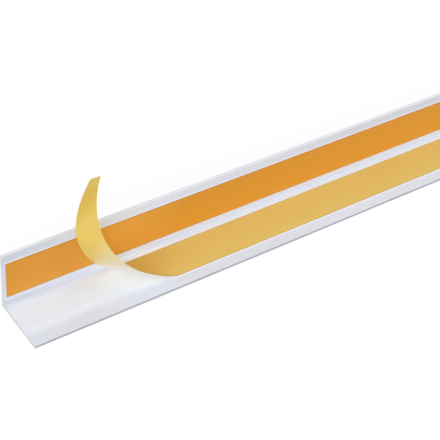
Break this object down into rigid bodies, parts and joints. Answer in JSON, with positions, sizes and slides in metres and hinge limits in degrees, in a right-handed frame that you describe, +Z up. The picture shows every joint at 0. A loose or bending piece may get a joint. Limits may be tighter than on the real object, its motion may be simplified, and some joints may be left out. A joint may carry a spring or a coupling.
{
  "type": "self-adhesive pvc corner profile",
  "caption": "Straight white plastic angle with self-adhesive tape inside each leg, its liner peeled back and curling up at the near end.",
  "frame": {"origin": "centre of the flat leg's outer face, which is the face it rests on", "axes": "+X along the length towards the far end, +Y across the flat leg towards the upright leg, +Z up"},
  "size_m": [1, 0.025, 0.0401],
  "materials": {
    "pvc": "smooth extruded white, faintly bluish",
    "tape": "soft white adhesive tape",
    "liner": "thin amber release film",
    "peeled_liner": "thin amber release film, paler where light passes through"
  },
  "bodies": {
    "root": {"profile": "pvc", "upright_tape": "tape", "upright_liner": "liner", "flat_tape": "tape", "flat_liner": "peeled_liner"}
  },
  "joints": []
}
